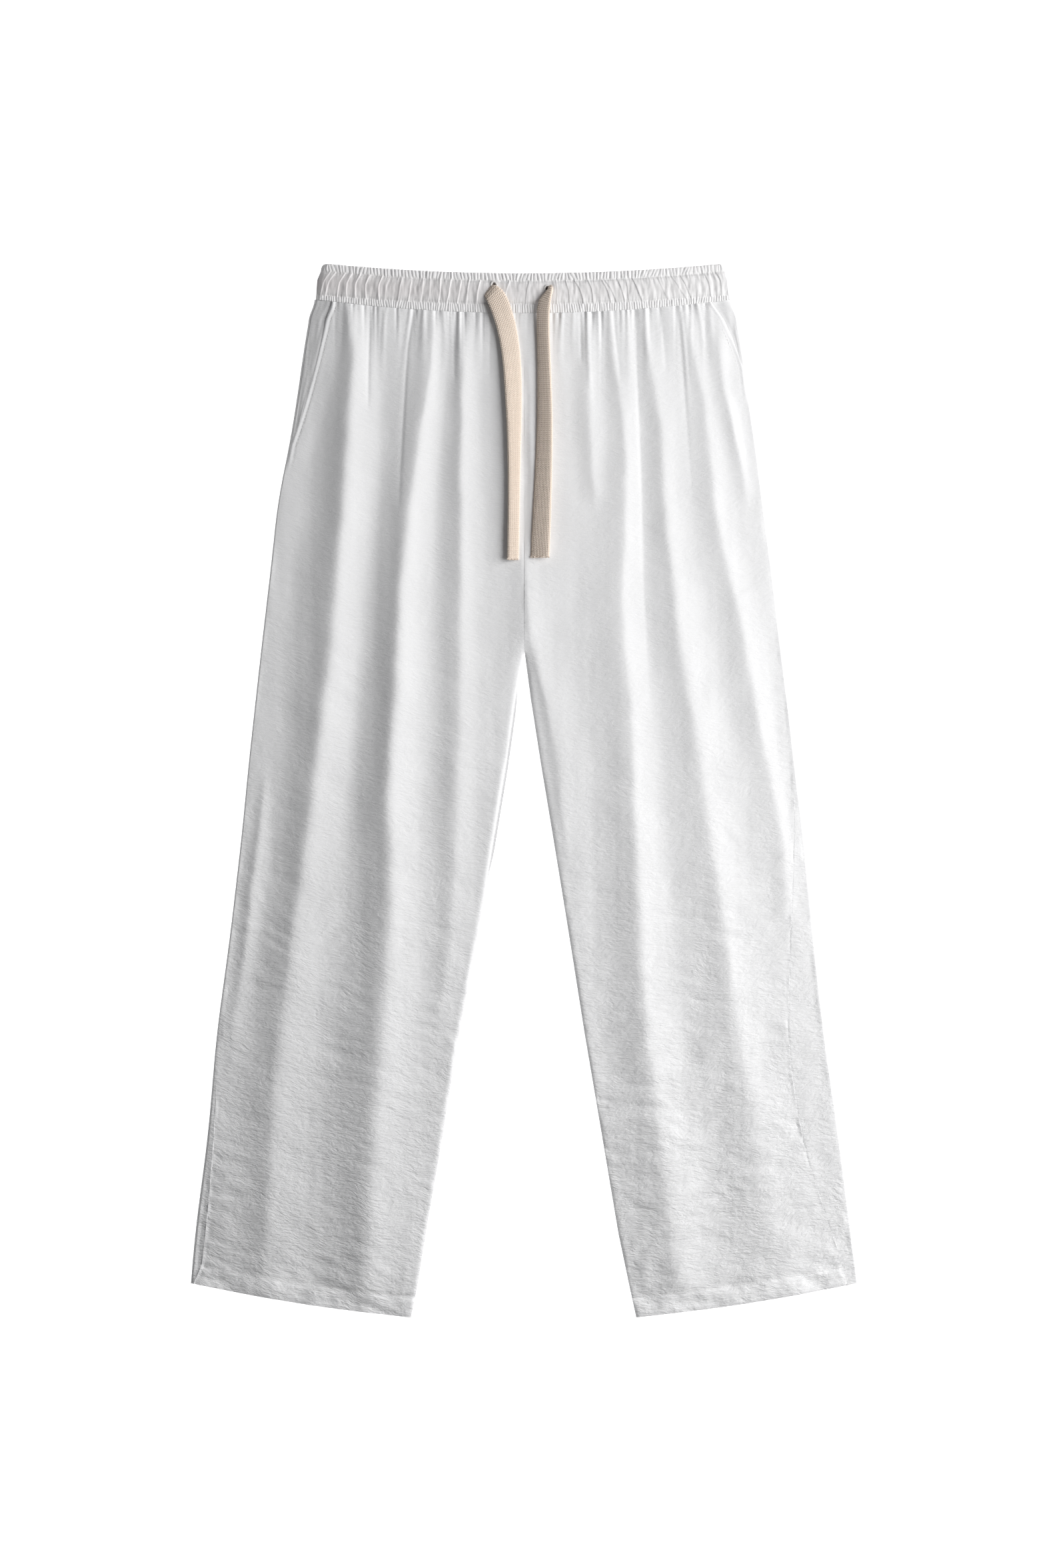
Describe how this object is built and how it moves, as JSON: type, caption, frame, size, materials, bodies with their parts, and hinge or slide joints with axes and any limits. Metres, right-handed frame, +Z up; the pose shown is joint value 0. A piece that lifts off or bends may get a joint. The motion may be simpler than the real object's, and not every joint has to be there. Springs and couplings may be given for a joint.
{
  "type": "relaxed-fit drawstring trousers laid flat",
  "caption": "Pull-on trousers laid flat: wide straight legs, gathered elastic waist in stitched rows, slant pockets and a flat braided drawstring.",
  "frame": {"origin": "middle of the outline, on the surface that the trousers lie on", "axes": "+Y from the hems to the waist, +X to the wearer's left, +Z up, out of the front"},
  "size_m": [0.6328, 0.999, 0.013],
  "materials": {
    "cloth": "matte crinkled plain weave, slightly sheer",
    "eyelet_thread": "satin stitched thread",
    "drawstring": "matte herringbone braid with frayed ends"
  },
  "bodies": {
    "root": {"front_right": "cloth", "front_left": "cloth", "back_right": "cloth", "back_left": "cloth", "pocket_facing_right": "cloth", "pocket_facing_left": "cloth", "waist_header_front": "cloth", "waist_casing_front": "cloth", "waist_band_front": "cloth", "waistband_back": "cloth", "eyelet_right": "eyelet_thread", "eyelet_left": "eyelet_thread", "drawstring_right": "drawstring", "drawstring_left": "drawstring"}
  },
  "joints": []
}
